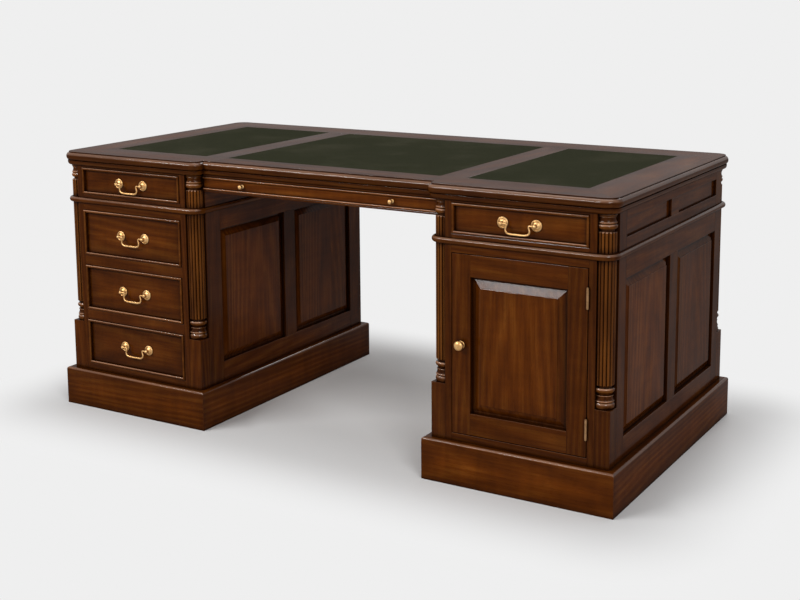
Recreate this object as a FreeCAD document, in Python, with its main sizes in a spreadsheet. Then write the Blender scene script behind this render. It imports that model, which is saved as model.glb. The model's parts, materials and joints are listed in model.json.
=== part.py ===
import FreeCAD, Part
import math
import os

doc = FreeCAD.newDocument("partners_desk")
sheet = doc.addObject("Spreadsheet::Sheet", "dims")

# Sizes in millimetres.
sizes = [
    # whole desk, measured over the plinths
    ("desk_length", 1800),
    ("desk_depth", 900),
    ("desk_height", 785),
    # plinths
    ("plinth_height", 114),
    ("plinth_set", 20),          # case face behind the plinth face
    ("plinth_board", 30),
    ("plinth_round", 7),
    # pedestal cases
    ("case_width", 496),
    ("corner_width", 60),        # case corner to the door or drawer opening
    ("notch_side", 41),          # square corner notch that takes a column
    ("outer_stile", 47),
    ("inner_stile", 66),
    ("muntin_width", 58),
    ("frame_thickness", 24),     # side frames
    ("rail_thickness", 22),      # front and rear rails
    ("bottom_rail", 20),
    ("top_rail", 21),
    ("drawer_rail", 31),
    ("side_rail_low", 59),
    ("side_rail_high", 58),
    ("waist_height", 16),
    ("waist_proud", 9),
    ("waist_corner", 40),
    ("waist_flat", 1),           # flat left between the two rounded edges
    ("partition_thickness", 18),
    ("floor_thickness", 18),
    ("runner_width", 18),
    ("runner_height", 18),
    # panels in frames
    ("panel_recess", 12),        # frame face to panel margin
    ("panel_plate", 8),
    ("tongue_depth", 8),
    ("tongue_gap", 1),           # room left at the bottom of the groove
    ("panel_margin", 7),         # flat left between the frame and the bevel
    ("bevel_width", 17),
    ("bevel_rise", 9),
    ("field_rise", 1.5),
    # frieze section
    ("frieze_height", 97),
    ("frieze_rail_low", 11),
    ("frieze_rail_high", 5),
    ("frieze_end_low", 29),
    ("frieze_end_high", 22),
    ("frieze_recess", 7),        # frame face to a frieze panel
    ("breakfront", 35),          # centre of the front set back by this
    ("centre_top_rail", 6),
    ("centre_opening", 39),
    ("centre_rail_height", 5),
    ("centre_rail_depth", 50),
    # top
    ("top_thickness", 40),
    ("top_overhang", 13),
    ("top_corner", 42),
    ("step_corner", 30),         # rounded inner ends of the side sections
    ("edge_step_height", 2.5),
    ("edge_step_set", 8),
    ("nose_height", 24),
    ("nose_round", 11),
    ("ovolo_set", 4),
    ("ovolo_round", 9),
    ("border_width", 122),
    ("cross_rail_set", 7),       # middle of a cross rail outside the inner case side
    ("cross_rail_width", 80),
    ("leather_thickness", 2),
    ("ground_thickness", 20),
    # columns
    ("block_top", 262),
    ("column_inset", 28),        # column axis behind both case faces
    ("column_radius", 25.5),
    ("reed_count", 16),
    ("reed_depth", 4),
    ("reed_end", 8),
    ("ring_radius", 26.5),
    ("ring_bulge", 3),
    ("neck_radius", 20),
    ("foot_ring", 16),
    ("band_ring", 6),            # thin ring next to the foot ring and the capital ring
    ("bell_height", 10),
    ("bell_set", 1.5),           # wide end of the bell inside the band
    ("bell_neck", 22),
    ("bell_hollow", 0.7),        # bell leaner than a cone
    ("bell_bead", 3),
    ("bead_bulge", 1.5),
    ("flare_height", 7),
    ("flare_hollow", 1),         # flare leaner than a cone
    ("collar_ring", 11),
    ("collar_neck", 4),
    ("capital_neck", 5),
    ("capital_ring", 12),
    ("capital_cap", 7),
    # doors
    ("door_gap", 2),
    ("door_thickness", 22),
    ("door_stile", 52),
    ("door_rail", 57),
    ("door_bevel", 20),
    ("hinge_gap", 2.5),          # door edge to jamb, filled by the two leaves
    ("hinge_height", 50),
    ("hinge_inset", 72),         # door end to hinge middle
    ("leaf_thickness", 1.2),
    ("leaf_width", 20),
    ("knuckle_radius", 3.3),
    ("knuckle_gap", 0.4),
    ("pin_offset", 4.5),         # pin axis in front of the door face
    ("pin_radius", 2),
    ("pin_fit", 0.05),
    ("pin_tip_radius", 2.6),
    ("pin_tip_height", 2),
    # drawers
    ("drawer_gap", 1),
    ("run_gap", 0.3),            # drawer sides above their runners
    ("bead_width", 7),
    ("bead_proud", 4),
    ("bead_flat", 0.4),          # flat left on the crest of a bead
    ("face_recess", 6),
    ("front_thickness", 20),
    ("side_thickness", 12),
    ("back_thickness", 12),
    ("bottom_thickness", 6),
    ("bottom_lift", 8),
    ("side_drop", 18),
    ("drawer_room", 13),         # behind the centre front drawer
    ("centre_bead_width", 5),
    ("centre_bead_proud", 3),
    ("centre_face_recess", 3),
    ("centre_side_drop", 6),
    # swan-neck pulls
    ("post_spacing", 92),
    ("rosette_radius", 15),
    ("rosette_thickness", 2.5),
    ("rosette_ring_place", 12),
    ("rosette_ring_radius", 1.4),
    ("dome_radius", 9.5),
    ("dome_height", 4),
    ("post_radius", 4),
    ("eye_radius", 5.4),
    ("pull_stand", 13),          # drawer face to the pin axis of the bail
    ("wire_radius", 2.5),
    ("wire_fit", 0.06),
    ("pin_reach", 5),            # bail pin past the middle of the eye
    ("bail_neck", 30),
    ("bail_half", 34),
    ("bail_drop", 24.5),
    ("neck_bend", 4.5),
    ("bail_bend", 15),
    # knobs
    ("knob_radius", 13.5),
    ("knob_depth", 9),           # middle of the head to its front
    ("knob_stand", 13),          # door face to the middle of the head
    ("knob_neck_radius", 5.5),
    ("knob_rose_radius", 10.5),
    ("knob_rose_height", 3),
    ("small_knob_radius", 6.5),
    ("small_knob_depth", 6),
    ("small_knob_stand", 11),
    ("small_knob_neck_radius", 3),
    ("small_knob_rose_radius", 5.5),
    ("small_knob_rose_height", 1.5),
    ("small_knob_inset", 138),   # case side to a small knob
]
for row, (alias, size) in enumerate(sizes, start=1):
    sheet.set(f"A{row}", alias)
    sheet.set(f"B{row}", str(size))
    sheet.setAlias(f"B{row}", alias)
doc.recompute()

REACH = 20.0     # cutting solids run past the wood by this
TINY = 1e-6
origin = FreeCAD.Vector(0, 0, 0)
along_x = FreeCAD.Vector(1, 0, 0)
along_y = FreeCAD.Vector(0, 1, 0)
upright = FreeCAD.Vector(0, 0, 1)


def dim(alias):
    return float(sheet.get(alias))


# Levels and planes as expressions. Lengths run out from the middle of the desk, so a pedestal spans
# case_in to case_out, and the front and rear faces lie at case_front from the middle.
half_length = "(dims.desk_length / 2)"
half_depth = "(dims.desk_depth / 2)"
case_out = f"({half_length} - dims.plinth_set)"
case_in = f"({case_out} - dims.case_width)"
case_front = f"({half_depth} - dims.plinth_set)"
plinth_in = f"({case_in} - dims.plinth_set)"
open_in = f"({case_in} + dims.corner_width)"
open_out = f"({case_out} - dims.corner_width)"
notch_in = f"({case_in} + dims.notch_side)"
notch_out = f"({case_out} - dims.notch_side)"
notch_front = f"({case_front} - dims.notch_side)"
outer_end = f"({notch_front} - dims.outer_stile)"
inner_front_end = f"({notch_front} - dims.inner_stile)"
inner_rear_end = f"({case_front} - dims.inner_stile)"
rail_back = f"({case_front} - dims.rail_thickness)"
half_partition = "(dims.partition_thickness / 2)"
half_muntin = "(dims.muntin_width / 2)"

foot = "dims.plinth_height"
top_high = "dims.desk_height"
top_low = f"({top_high} - dims.top_thickness)"
frieze_low = f"({top_low} - dims.frieze_height)"
waist = f"({frieze_low} - dims.waist_height)"
open_low = f"({foot} + dims.bottom_rail)"
open_high = f"({waist} - dims.top_rail)"
frieze_open_low = f"({frieze_low} + dims.frieze_rail_low)"
frieze_open_high = f"({top_low} - dims.frieze_rail_high)"
centre_open_high = f"({top_low} - dims.centre_top_rail)"
centre_open_low = f"({centre_open_high} - dims.centre_opening)"
centre_rail_low = f"({centre_open_low} - dims.centre_rail_height)"
drawer_opening = f"(({open_high} - {open_low} - 2 * dims.drawer_rail) / 3)"
centre_front = f"({case_front} - dims.breakfront)"
cross_rail = f"({case_in} + dims.cross_rail_set)"
centre_back = f"({centre_front} - dims.centre_face_recess - dims.front_thickness)"
drawer_length = f"({centre_back} - {half_partition} - dims.drawer_room)"

nodes = {}


def flip(span):
    return f"-({span[1]})", f"-({span[0]})"


def signed(span, sign):
    return span if sign > 0 else flip(span)


def inset(span, amount):
    return f"{span[0]} + ({amount})", f"{span[1]} - ({amount})"


def middle(span):
    return f"(({span[0]}) + ({span[1]})) / 2"


def place_at(piece, x, y, z, turn=None):
    if turn is not None:
        piece.Placement = FreeCAD.Placement(origin, turn)
    for axis, text in zip("xyz", (x, y, z)):
        piece.setExpression(f"Placement.Base.{axis}", text)


def size_box(piece, x, y, z):
    for name, (low, high) in zip(("Length", "Width", "Height"), (x, y, z)):
        piece.setExpression(name, f"({high}) - ({low})")
    place_at(piece, x[0], y[0], z[0])
    return piece


def block(name, x, y, z):
    return size_box(doc.addObject("Part::Box", name), x, y, z)


# A board lies between spans u across the desk, v from its middle towards the front, and z upwards.
def board(name, u, v, z):
    return block(name, u, flip(v), z)


def cylinder(name, radius, low, high):
    piece = doc.addObject("Part::Cylinder", name)
    piece.setExpression("Radius", radius)
    piece.setExpression("Height", f"({high}) - ({low})")
    place_at(piece, "0", "0", low)
    return piece


def ball(name, radius, height):
    piece = doc.addObject("Part::Sphere", name)
    piece.setExpression("Radius", radius)
    place_at(piece, "0", "0", height)
    return piece


# Flattened ball, depth being half its length along z.
def head(name, radius, depth, height):
    piece = doc.addObject("Part::Ellipsoid", name)
    piece.setExpression("Radius1", depth)
    piece.setExpression("Radius2", radius)
    piece.setExpression("Radius3", radius)
    place_at(piece, "0", "0", height)
    return piece


def cone(name, low_radius, high_radius, low, high):
    piece = doc.addObject("Part::Cone", name)
    piece.setExpression("Radius1", low_radius)
    piece.setExpression("Radius2", high_radius)
    piece.setExpression("Height", f"({high}) - ({low})")
    place_at(piece, "0", "0", low)
    return piece


def fused(name, pieces):
    whole = doc.addObject("Part::MultiFuse", name)
    whole.Shapes = pieces
    return whole


def cut(name, piece, tool):
    result = doc.addObject("Part::Cut", name)
    result.Base = piece
    result.Tool = tool
    return result


def common(name, piece, tool):
    result = doc.addObject("Part::Common", name)
    result.Base = piece
    result.Tool = tool
    return result


def group(name, pieces):
    whole = doc.addObject("Part::Compound", name)
    whole.Links = pieces
    return whole


def node(label, pieces):
    whole = pieces[0] if len(pieces) == 1 else group(label, pieces)
    whole.Label = label
    nodes[label] = whole
    return whole


def body_box(body, kind, x, y, z):
    return size_box(body.newObject(f"PartDesign::{kind}", body.Name + "_block"), x, y, z)


def edge_names(shape, wanted):
    return [f"Edge{count}" for count, edge in enumerate(shape.Edges, start=1) if wanted(edge)]


def is_upright(edge):
    box = edge.BoundBox
    return box.XLength < TINY and box.YLength < TINY


def rounded(body, name, radius, wanted):
    doc.recompute()
    before = body.Tip
    fillet = body.newObject("PartDesign::Fillet", name)
    fillet.Base = (before, edge_names(before.Shape, wanted))
    fillet.setExpression("Radius", radius)
    doc.recompute()


# Plan wedge for one mitred board: its outer face runs from low to high along local x, and the board is
# depth wide along local y. An end that is not mitred is square.
def mitre_tool(name, low, high, depth, z, mitres=(True, True)):
    left, right = (1 if mitre else 0 for mitre in mitres)
    tool = doc.addObject("Part::Wedge", name)
    spans = {
        "Xmin": f"{low} - {left * REACH}", "Xmax": f"{high} + {right * REACH}",
        "X2min": f"{low} + {left} * ({depth})", "X2max": f"{high} - {right} * ({depth})",
        "Ymin": f"-{REACH}", "Ymax": depth,
        "Zmin": z[0], "Zmax": z[1], "Z2min": z[0], "Z2max": z[1],
    }
    for name, text in spans.items():
        tool.setExpression(name, text)
    return tool


def about_z(angle):
    return FreeCAD.Rotation(upright, angle)


# Raised and fielded panel. The field faces local +y, and the margin stands in grooves of the frame.
def fielded_panel(name, width, height, bevel, centre, angle):
    tongue = "(dims.tongue_depth - dims.tongue_gap)"
    half_wide = f"(({width}) / 2)"
    half_high = f"(({height}) / 2)"
    wide = (f"-({half_wide} + {tongue})", f"{half_wide} + {tongue}")
    high = (f"-({half_high} + {tongue})", f"{half_high} + {tongue}")
    plate = block(name + "_plate", wide, ("-dims.panel_plate", "0"), high)
    slope = doc.addObject("Part::Wedge", name + "_bevel")
    for axis, half in (("X", half_wide), ("Z", half_high)):
        foot_half = f"({half} - dims.panel_margin)"
        slope.setExpression(f"{axis}min", f"-{foot_half}")
        slope.setExpression(f"{axis}max", foot_half)
        slope.setExpression(f"{axis}2min", f"-({foot_half} - {bevel})")
        slope.setExpression(f"{axis}2max", f"{foot_half} - {bevel}")
    slope.Ymin = 0
    slope.setExpression("Ymax", "dims.bevel_rise")
    border = f"(dims.panel_margin + {bevel})"
    field_wide = (f"-({half_wide} - {border})", f"{half_wide} - {border}")
    field_high = (f"-({half_high} - {border})", f"{half_high} - {border}")
    field_rise = ("dims.bevel_rise", "dims.bevel_rise + dims.field_rise")
    field = block(name + "_field", field_wide, field_rise, field_high)
    panel = fused(name, [plate, slope, field])
    place_at(panel, *centre, about_z(angle))
    return panel


def grooved(pieces, tool):
    return [cut(piece.Name + "_grooved", piece, tool) for piece in pieces]


# Plinths: a block with a rounded top edge, divided into four mitred boards.
def plinth(word, sign):
    u = signed((plinth_in, half_length), sign)
    v = (f"-{half_depth}", half_depth)
    z = ("0", foot)
    body = doc.addObject("PartDesign::Body", f"plinth_{word}_blank")
    body_box(body, "AdditiveBox", u, v, z)
    top = dim("plinth_height")
    rounded(body, f"plinth_{word}_round", "dims.plinth_round",
            lambda edge: edge.BoundBox.ZMin > top - TINY)
    half_wide = f"(({half_length} - {plinth_in}) / 2)"
    centre = middle(u)
    sides = (
        ("front", half_wide, centre, f"-{half_depth}", 0),
        ("rear", half_wide, centre, half_depth, 180),
        ("high", half_depth, u[1], "0", 90),
        ("low", half_depth, u[0], "0", -90),
    )
    boards = []
    for side, half, x, y, angle in sides:
        tool = mitre_tool(f"plinth_{word}_{side}_tool", f"-{half}", half, "dims.plinth_board", z)
        place_at(tool, x, y, "0", about_z(angle))
        boards.append(common(f"plinth_{word}_{side}", body, tool))
    node(f"plinth_{word}", boards)


# One pedestal: jambs beside the openings, side stiles behind the corner notches, rails, muntins and the
# square blocks under the columns. bank is +1 where the drawers face the front, -1 where they face the rear.
def pedestal(word, sign, bank):
    z = (foot, waist)
    jamb_depth = (outer_end, case_front)
    pieces = []
    for u in ((notch_in, open_in), (open_out, notch_out)):
        for way in (1, -1):
            pieces.append(board(f"{word}_jamb", signed(u, sign), signed(jamb_depth, way), z))
    outer_face = signed((f"{case_out} - dims.frame_thickness", case_out), sign)
    inner_face = signed((case_in, f"{case_in} + dims.frame_thickness"), sign)
    panel_z = (f"{foot} + dims.side_rail_low", f"{waist} - dims.side_rail_high")
    inner_middle = f"(({inner_front_end} - {inner_rear_end}) / 2)"
    sides = (
        ("outer", outer_face, signed((notch_out, case_out), sign), case_out, -1,
         f"-{outer_end}", outer_end, f"-{notch_front}", notch_front, "0"),
        ("inner", inner_face, signed((case_in, notch_in), sign), case_in, 1,
         f"-{inner_rear_end}", inner_front_end, f"-{case_front}", notch_front, inner_middle),
    )
    panels = []
    for side, face, stile, plane, inward, low, high, low_edge, high_edge, centre in sides:
        near = f"{plane} + {inward} * dims.panel_recess"
        deep = f"{plane} + {inward} * (dims.panel_recess + dims.panel_plate)"
        groove_u = signed((near, deep) if inward > 0 else (deep, near), sign)
        spans = ((low, f"{centre} - {half_muntin}"), (f"{centre} + {half_muntin}", high))
        groove_z = inset(panel_z, "-dims.tongue_depth")
        grooves = []
        for span in spans:
            groove_v = inset(span, "-dims.tongue_depth")
            grooves.append(board(f"{word}_{side}_groove", groove_u, groove_v, groove_z))
        tool = group(f"{word}_{side}_grooves", grooves)
        frame = [
            board(f"{word}_{side}_stile", stile, (low_edge, low), z),
            board(f"{word}_{side}_stile", stile, (high, high_edge), z),
            board(f"{word}_{side}_rail", face, (low, high), (foot, panel_z[0])),
            board(f"{word}_{side}_rail", face, (low, high), (panel_z[1], waist)),
            board(f"{word}_{side}_muntin", face, (spans[0][1], spans[1][0]), panel_z),
        ]
        pieces += grooved(frame, tool)
        angle = 90 * inward * sign
        x = f"{sign} * ({near})"
        for span in spans:
            panels.append(fielded_panel(
                f"{word}_{side}_panel", f"{span[1]} - ({span[0]})", f"{panel_z[1]} - ({panel_z[0]})",
                "dims.bevel_width", (x, f"-({middle(span)})", middle(panel_z)), angle))
    block_z = (foot, "dims.block_top")
    corner = (notch_front, case_front)
    pieces.append(board(f"{word}_block", signed((notch_out, case_out), sign), corner, block_z))
    pieces.append(board(f"{word}_block", signed((notch_out, case_out), sign), flip(corner), block_z))
    pieces.append(board(f"{word}_block", signed((case_in, notch_in), sign), corner, block_z))
    opening = signed((open_in, open_out), sign)
    rail_v = (rail_back, case_front)
    for way in (1, -1):
        pieces.append(board(f"{word}_bottom_rail", opening, signed(rail_v, way), (foot, open_low)))
        pieces.append(board(f"{word}_top_rail", opening, signed(rail_v, way), (open_high, waist)))
    for count in (0, 1):
        low = f"{open_low} + {count + 1} * {drawer_opening} + {count} * dims.drawer_rail"
        rail_z = (low, f"{low} + dims.drawer_rail")
        pieces.append(board(f"{word}_drawer_rail", opening, signed(rail_v, bank), rail_z))
    node(f"pedestal_frame_{word}", pieces)
    return panels


# Boards inside a pedestal: linings flush with the openings, floor and partition.
def inner_boards(word, sign):
    guide_v = (f"-{outer_end}", outer_end)
    opening = signed((open_in, open_out), sign)
    return [
        board(f"{word}_lining", signed((notch_in, open_in), sign), guide_v, (foot, waist)),
        board(f"{word}_lining", signed((open_out, notch_out), sign), guide_v, (foot, waist)),
        board(f"{word}_floor", opening, (f"-{rail_back}", rail_back),
              (f"{open_low} - dims.floor_thickness", open_low)),
        board(f"{word}_partition", opening, (f"-{half_partition}", half_partition), (open_low, waist)),
    ]


# Waist board: half-round edge, rounded in plan at the three corners that carry columns.
def waist_board(word, sign):
    u = signed((f"{case_in} - dims.waist_proud", f"{case_out} + dims.waist_proud"), sign)
    reach = f"({case_front} + dims.waist_proud)"
    body = doc.addObject("PartDesign::Body", f"waist_{word}")
    body_box(body, "AdditiveBox", u, (f"-{reach}", reach), (waist, frieze_low))

    def is_column_corner(edge):
        spot = edge.CenterOfMass
        outer = abs(spot.x) > dim("desk_length") / 2 - dim("case_width")
        return is_upright(edge) and (spot.y < 0 or outer)

    rounded(body, f"waist_{word}_corners", "dims.waist_corner", is_column_corner)
    rounded(body, f"waist_{word}_nose", "(dims.waist_height - dims.waist_flat) / 2",
            lambda edge: edge.BoundBox.ZLength < TINY)
    return body


# Frieze above one pedestal.
def frieze_side(word, sign):
    z = (frieze_low, top_low)
    pieces = []
    rail_v = (rail_back, case_front)
    opening = signed((open_in, open_out), sign)
    for way in (1, -1):
        jamb_v = signed((outer_end, case_front), way)
        pieces.append(board(f"{word}_frieze_jamb", signed((notch_in, open_in), sign), jamb_v, z))
        pieces.append(board(f"{word}_frieze_jamb", signed((open_out, notch_out), sign), jamb_v, z))
        for rail_z in ((frieze_low, frieze_open_low), (frieze_open_high, top_low)):
            pieces.append(board(f"{word}_frieze_rail", opening, signed(rail_v, way), rail_z))
    face = signed((f"{case_out} - dims.frame_thickness", case_out), sign)
    stile = signed((notch_out, case_out), sign)
    panel_z = (f"{frieze_low} + dims.frieze_end_low", f"{top_low} - dims.frieze_end_high")
    margin = f"({case_out} - dims.frieze_recess)"
    plate_u = signed((f"{margin} - dims.panel_plate", margin), sign)
    spans = ((f"-{outer_end}", f"-{half_muntin}"), (half_muntin, outer_end))
    groove_out = "-dims.tongue_depth"
    plate_out = "dims.tongue_gap - dims.tongue_depth"
    grooves = []
    panels = []
    for span in spans:
        groove_v = inset(span, groove_out)
        plate_v = inset(span, plate_out)
        grooves.append(board(f"{word}_frieze_groove", plate_u, groove_v, inset(panel_z, groove_out)))
        panels.append(board(f"{word}_frieze_panel", plate_u, plate_v, inset(panel_z, plate_out)))
    tool = group(f"{word}_frieze_grooves", grooves)
    end_v = (f"-{outer_end}", outer_end)
    frame = [
        board(f"{word}_frieze_stile", stile, (outer_end, notch_front), z),
        board(f"{word}_frieze_stile", stile, (f"-{notch_front}", f"-{outer_end}"), z),
        board(f"{word}_frieze_end_rail", face, end_v, (frieze_low, panel_z[0])),
        board(f"{word}_frieze_end_rail", face, end_v, (panel_z[1], top_low)),
        board(f"{word}_frieze_muntin", face, (f"-{half_muntin}", half_muntin), panel_z),
    ]
    pieces += grooved(frame, tool)
    inner_v = (f"-{case_front}", notch_front)
    pieces += [
        board(f"{word}_frieze_inner_side", signed((case_in, notch_in), sign), inner_v, z),
        board(f"{word}_frieze_guide", signed((notch_in, open_in), sign), end_v, z),
        board(f"{word}_frieze_guide", signed((open_out, notch_out), sign), end_v, z),
        board(f"{word}_frieze_partition", opening, (f"-{half_partition}", half_partition), z),
    ]
    return pieces, panels


# Frieze across the kneehole: rails above and below the shallow drawers, and a partition.
def frieze_middle():
    u = (f"-{case_in}", case_in)
    wall_v = (f"-{half_partition}", half_partition)
    pieces = [board("centre_partition", u, wall_v, (centre_rail_low, top_low))]
    for way, plane in ((1, centre_front), (-1, case_front)):
        low_v = (f"{plane} - dims.centre_rail_depth", plane)
        top_v = (f"{plane} - dims.rail_thickness", plane)
        pieces.append(board("centre_low_rail", u, signed(low_v, way), (centre_rail_low, centre_open_low)))
        pieces.append(board("centre_top_rail", u, signed(top_v, way), (centre_open_high, top_low)))
    return pieces


# Runners under the drawer sides, from the front rail back to the partition.
def runners():
    pieces = []
    inner = (open_in, f"{open_in} + dims.runner_width")
    outer = (f"{open_out} - dims.runner_width", open_out)
    run_v = (half_partition, rail_back)
    for way in (1, -1):
        for count in (1, 2):
            high = f"{open_low} + {count} * ({drawer_opening} + dims.drawer_rail)"
            z = (f"{high} - dims.runner_height", high)
            for u in (inner, outer):
                pieces.append(board("drawer_runner", signed(u, -way), signed(run_v, way), z))
        for sign in (1, -1):
            for u in (inner, outer):
                z = (frieze_low, frieze_open_low)
                pieces.append(board("frieze_runner", signed(u, sign), signed(run_v, way), z))
            plane = centre_front if way > 0 else case_front
            centre_v = (half_partition, f"{plane} - dims.centre_rail_depth")
            centre_u = (f"{case_in} - dims.runner_width", case_in)
            z = (centre_rail_low, centre_open_low)
            pieces.append(board("centre_runner", signed(centre_u, sign), signed(centre_v, way), z))
    return pieces


# One layer of the moulded top, overhanging the case by the given amount, with rounded corners.
def top_layer(name, set_back, z):
    overhang = f"(dims.top_overhang - {set_back})"
    long_reach = f"({case_out} + {overhang})"
    deep_reach = f"({case_front} + {overhang})"
    middle_front = f"({centre_front} + {overhang})"
    body = doc.addObject("PartDesign::Body", name)
    body_box(body, "AdditiveBox", (f"-{long_reach}", long_reach), (f"-{middle_front}", deep_reach), z)
    for sign in (1, -1):
        side = signed((f"{case_in} - {overhang}", long_reach), sign)
        body_box(body, "AdditiveBox", side, (f"-{deep_reach}", "0"), z)
    doc.recompute()
    box = body.Shape.BoundBox

    def is_outer_corner(edge):
        return is_upright(edge) and abs(edge.CenterOfMass.x) > box.XMax - TINY

    def is_step_corner(edge):
        at_front = edge.CenterOfMass.y < box.YMin + TINY
        return is_upright(edge) and at_front and abs(edge.CenterOfMass.x) < box.XMax - dim("case_width") / 2

    rounded(body, name + "_corners", f"dims.top_corner - {set_back}", is_outer_corner)
    rounded(body, name + "_step_corners", f"dims.step_corner - {set_back}", is_step_corner)
    return body


# Border boards of the top: the moulded blank divided by mitres at the corners and square joints in front.
def top_border():
    nose_high = f"({top_high} - dims.edge_step_height)"
    nose_low = f"({nose_high} - dims.nose_height)"
    edge_step = top_layer("edge_step", "dims.edge_step_set", (nose_high, top_high))
    nose = top_layer("nose", "0", (nose_low, nose_high))
    rounded(nose, "nose_round", "dims.nose_round", lambda edge: edge.BoundBox.ZLength < TINY)
    ovolo = top_layer("ovolo", "dims.ovolo_set", (top_low, nose_low))
    low = dim("desk_height") - dim("top_thickness")
    rounded(ovolo, "ovolo_round", "dims.ovolo_round", lambda edge: edge.BoundBox.ZMax < low + TINY)
    blank = fused("top_blank", [edge_step, nose, ovolo])
    z = (top_low, top_high)
    half_long = f"({case_out} + dims.top_overhang)"
    half_deep = f"({case_front} + dims.top_overhang)"
    rail_in = f"({cross_rail} - dims.cross_rail_width / 2)"
    width = "dims.border_width"
    sides = (
        ("rear", f"-{half_long}", half_long, "0", half_deep, 180, (True, True)),
        ("right_end", f"-{half_deep}", half_deep, half_long, "0", 90, (True, True)),
        ("left_end", f"-{half_deep}", half_deep, f"-{half_long}", "0", -90, (True, True)),
        ("front_right", rail_in, half_long, "0", f"-{half_deep}", 0, (False, True)),
        ("front_left", f"-{half_long}", f"-{rail_in}", "0", f"-{half_deep}", 0, (True, False)),
        ("front_centre", f"-{rail_in}", rail_in, "0", f"-{half_deep}", 0, (False, False)),
    )
    boards = []
    for side, low_end, high_end, x, y, angle, mitres in sides:
        tool = mitre_tool(f"border_{side}_tool", low_end, high_end, width, z, mitres)
        place_at(tool, x, y, "0", about_z(angle))
        boards.append(common(f"border_{side}", blank, tool))
    rail_u = (rail_in, f"{cross_rail} + dims.cross_rail_width / 2")
    field_v = f"({half_deep} - {width})"
    ground_low = f"({top_high} - dims.leather_thickness - dims.ground_thickness)"
    leather_low = f"({top_high} - dims.leather_thickness)"
    deep = (f"-{field_v}", field_v)
    for sign in (1, -1):
        boards.append(board("cross_rail", signed(rail_u, sign), deep, (ground_low, top_high)))
    node("top_border", boards)
    side_u = (rail_u[1], f"{half_long} - {width}")
    centre_u = (f"-{rail_in}", rail_in)
    grounds = []
    leathers = {}
    for word, u in (("centre", centre_u), ("right", side_u), ("left", flip(side_u))):
        grounds.append(board(f"ground_{word}", u, deep, (ground_low, leather_low)))
        leathers[word] = board(f"leather_{word}", u, deep, (leather_low, top_high))
    node("top_ground", grounds)
    node("leather_centre_panel", [leathers["centre"]])
    node("leather_side_panels", [leathers["left"], leathers["right"]])


# Turned solid from steps of (height, radius below, radius half way, radius above).
def turned_solid(steps, low):
    spots = [FreeCAD.Vector(0, 0, low)]
    edges = []

    def line_to(spot):
        if spots[-1].distanceToPoint(spot) > TINY:
            edges.append(Part.makeLine(spots[-1], spot))
            spots.append(spot)

    level = low
    for height, below, half_way, above in steps:
        line_to(FreeCAD.Vector(below, 0, level))
        waypoint = FreeCAD.Vector(half_way, 0, level + height / 2)
        level += height
        finish = FreeCAD.Vector(above, 0, level)
        if abs(half_way - (below + above) / 2) < TINY:
            line_to(finish)
        else:
            edges.append(Part.Arc(spots[-1], waypoint, finish).toShape())
            spots.append(finish)
    line_to(FreeCAD.Vector(0, 0, level))
    line_to(spots[0])
    return Part.Face(Part.Wire(edges)).revolve(origin, upright, 360)


# Reeded shaft: convex reeds round the axis, with their ends rounded off where asked.
def reeded_shaft(low, high, round_low, round_high):
    radius = dim("column_radius")
    valley = radius - dim("reed_depth")
    pitch = 2 * math.pi / dim("reed_count")
    arcs = []
    for count in range(int(dim("reed_count"))):
        spots = []
        for turn, reach in ((-0.5, valley), (0.0, radius), (0.5, valley)):
            angle = (count + turn) * pitch
            spots.append(FreeCAD.Vector(reach * math.cos(angle), reach * math.sin(angle), low))
        arcs.append(Part.Arc(*spots).toShape())
    shaft = Part.Face(Part.Wire(arcs)).extrude(upright * (high - low))
    end = dim("reed_end")
    outside = dim("ring_radius")
    quarter = outside - end + math.sqrt(end ** 2 - (end / 2) ** 2)
    start = (end, outside - end, quarter, outside) if round_low else (end, outside, outside, outside)
    finish = (end, outside, quarter, outside - end) if round_high else (end, outside, outside, outside)
    straight = (high - low - 2 * end, outside, outside, outside)
    return shaft.common(turned_solid([start, straight, finish], low))


# Cuts a column to the corner notch; its axis is at the local origin and the notch opens to -x and -y.
def fitted_to_notch(shape, low, high):
    inset_size = dim("column_inset")
    side = dim("notch_side")
    notch = Part.makeBox(side, side, high - low, FreeCAD.Vector(-inset_size, -inset_size, low))
    return shape.common(notch)


def half_round(height, radius):
    return height, radius - dim("ring_bulge"), radius, radius - dim("ring_bulge")


# Band, bell and bead, which the foot of a lower column and the head of an upper one share.
def bell_steps():
    radius = dim("column_radius")
    wide = radius - dim("bell_set")
    neck = dim("bell_neck")
    return [
        half_round(dim("band_ring"), radius),
        (dim("bell_height"), wide, (wide + neck) / 2 - dim("bell_hollow"), neck),
        (dim("bell_bead"), neck, neck + dim("bead_bulge"), neck),
    ]


def frieze_bottom():
    return dim("desk_height") - dim("top_thickness") - dim("frieze_height")


def lower_column():
    low = dim("block_top")
    high = frieze_bottom() - dim("waist_height")
    neck = dim("neck_radius")
    ring = dim("ring_radius")
    flare = ring - dim("ring_bulge")
    steps = [half_round(dim("foot_ring"), ring)] + bell_steps() + [
        (dim("flare_height"), neck, (neck + flare) / 2 - dim("flare_hollow"), flare),
        half_round(dim("collar_ring"), ring),
        (dim("collar_neck"), neck, neck, neck),
    ]
    base_top = low + sum(step[0] for step in steps)
    base = turned_solid(steps, low)
    shaft = reeded_shaft(base_top, high, True, False)
    return fitted_to_notch(base.fuse(shaft), low, high)


def upper_column():
    low = frieze_bottom()
    high = low + dim("frieze_height")
    neck = dim("neck_radius")
    steps = [
        (dim("capital_neck"), neck, neck, neck),
        half_round(dim("capital_ring"), dim("ring_radius")),
    ] + bell_steps() + [half_round(dim("capital_cap"), dim("column_radius"))]
    capital_low = high - sum(step[0] for step in steps)
    shaft = reeded_shaft(low, capital_low, False, True)
    return fitted_to_notch(shaft.fuse(turned_solid(steps, capital_low)), low, high)


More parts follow.
